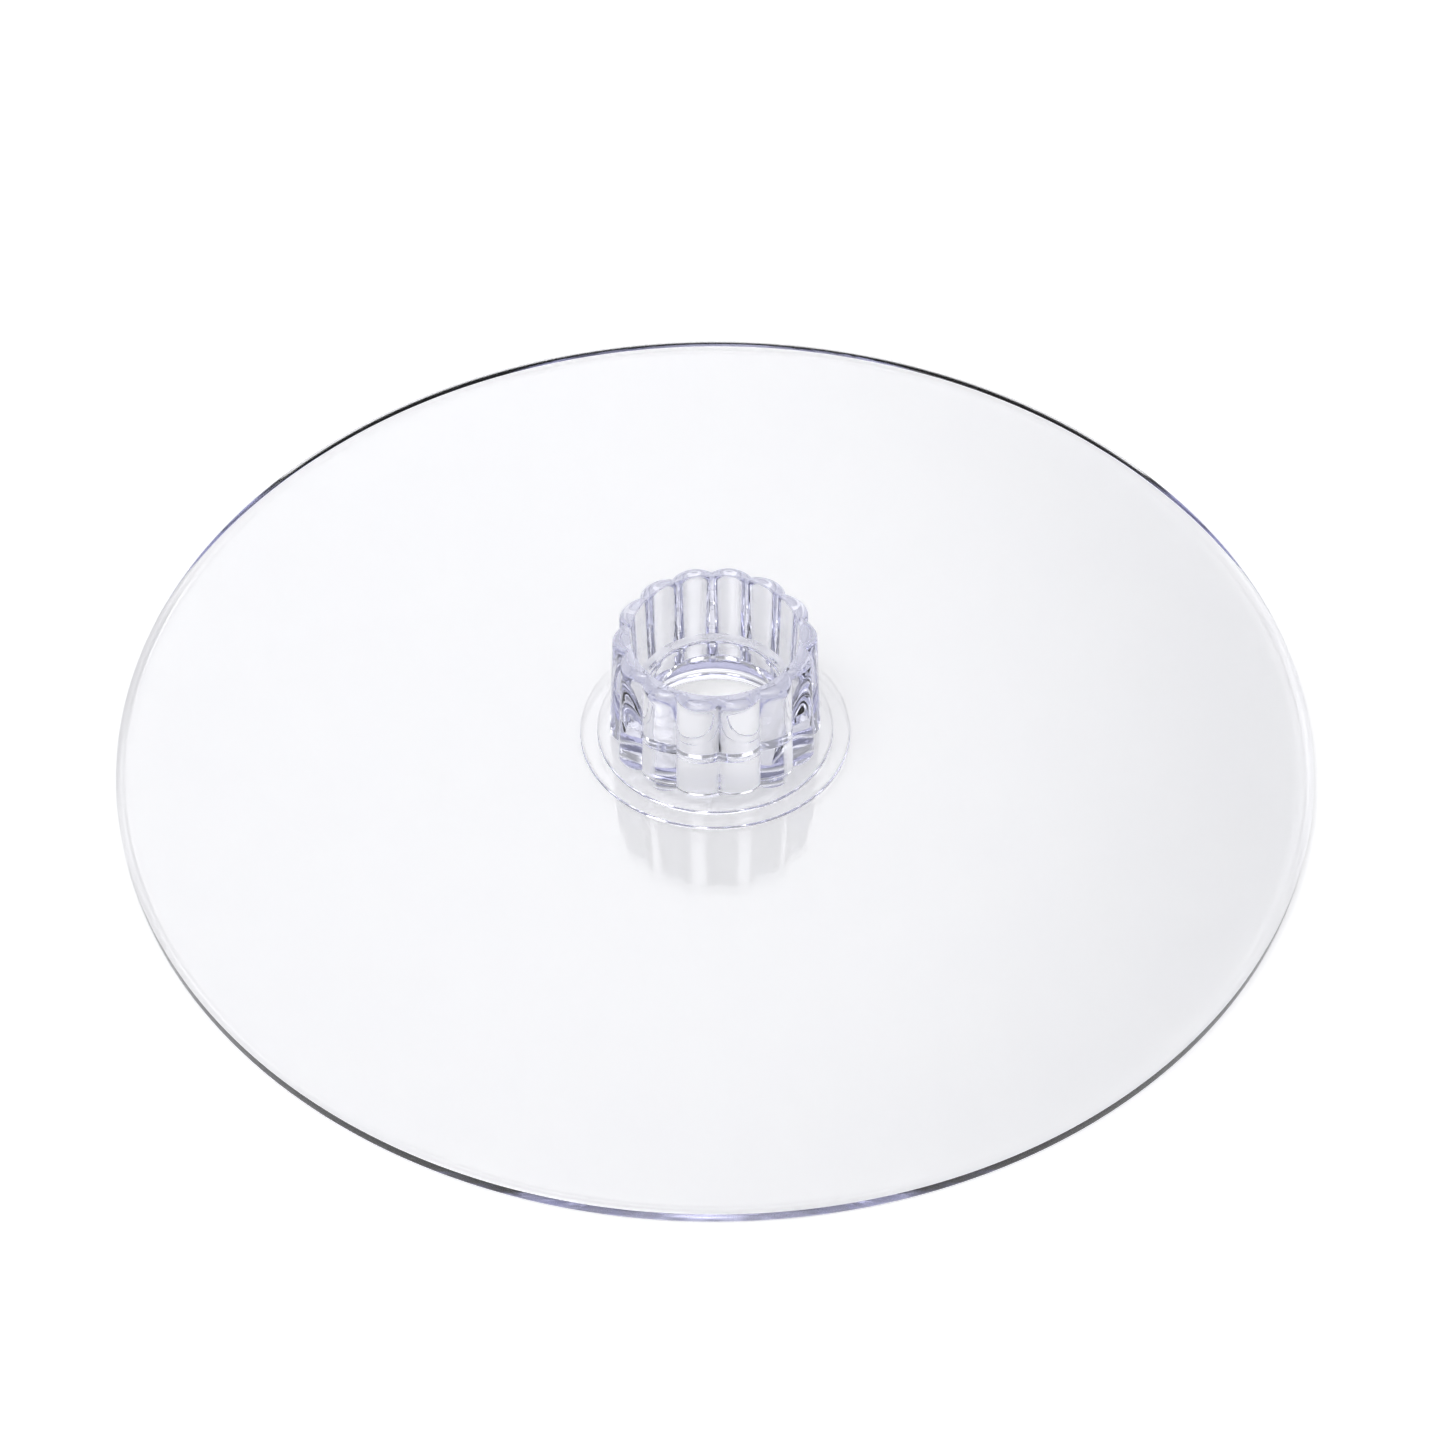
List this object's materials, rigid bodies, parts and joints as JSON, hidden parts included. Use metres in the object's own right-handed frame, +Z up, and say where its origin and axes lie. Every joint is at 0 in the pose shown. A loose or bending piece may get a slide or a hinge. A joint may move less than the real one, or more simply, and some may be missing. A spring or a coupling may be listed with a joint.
{
  "type": "cake stand tier plate",
  "caption": "Flat clear round plate with a low rounded rim and, at its centre, a scalloped tubular socket on a low round foot, for plugging in a stand column.",
  "frame": {"origin": "centre of the plate's underside", "axes": "+Z up along the socket's axis; +X through a flute's peak, +Y through a groove between two flutes"},
  "size_m": [0.305, 0.305, 0.0373],
  "materials": {
    "clear_plate": "clear polished plastic with a faint lilac tint",
    "clear_socket": "clear polished plastic, lilac where it is thick"
  },
  "bodies": {
    "root": {"plate": "clear_plate", "foot_flange": "clear_socket", "socket_collar": "clear_socket", "stop_ring": "clear_socket"}
  },
  "joints": []
}
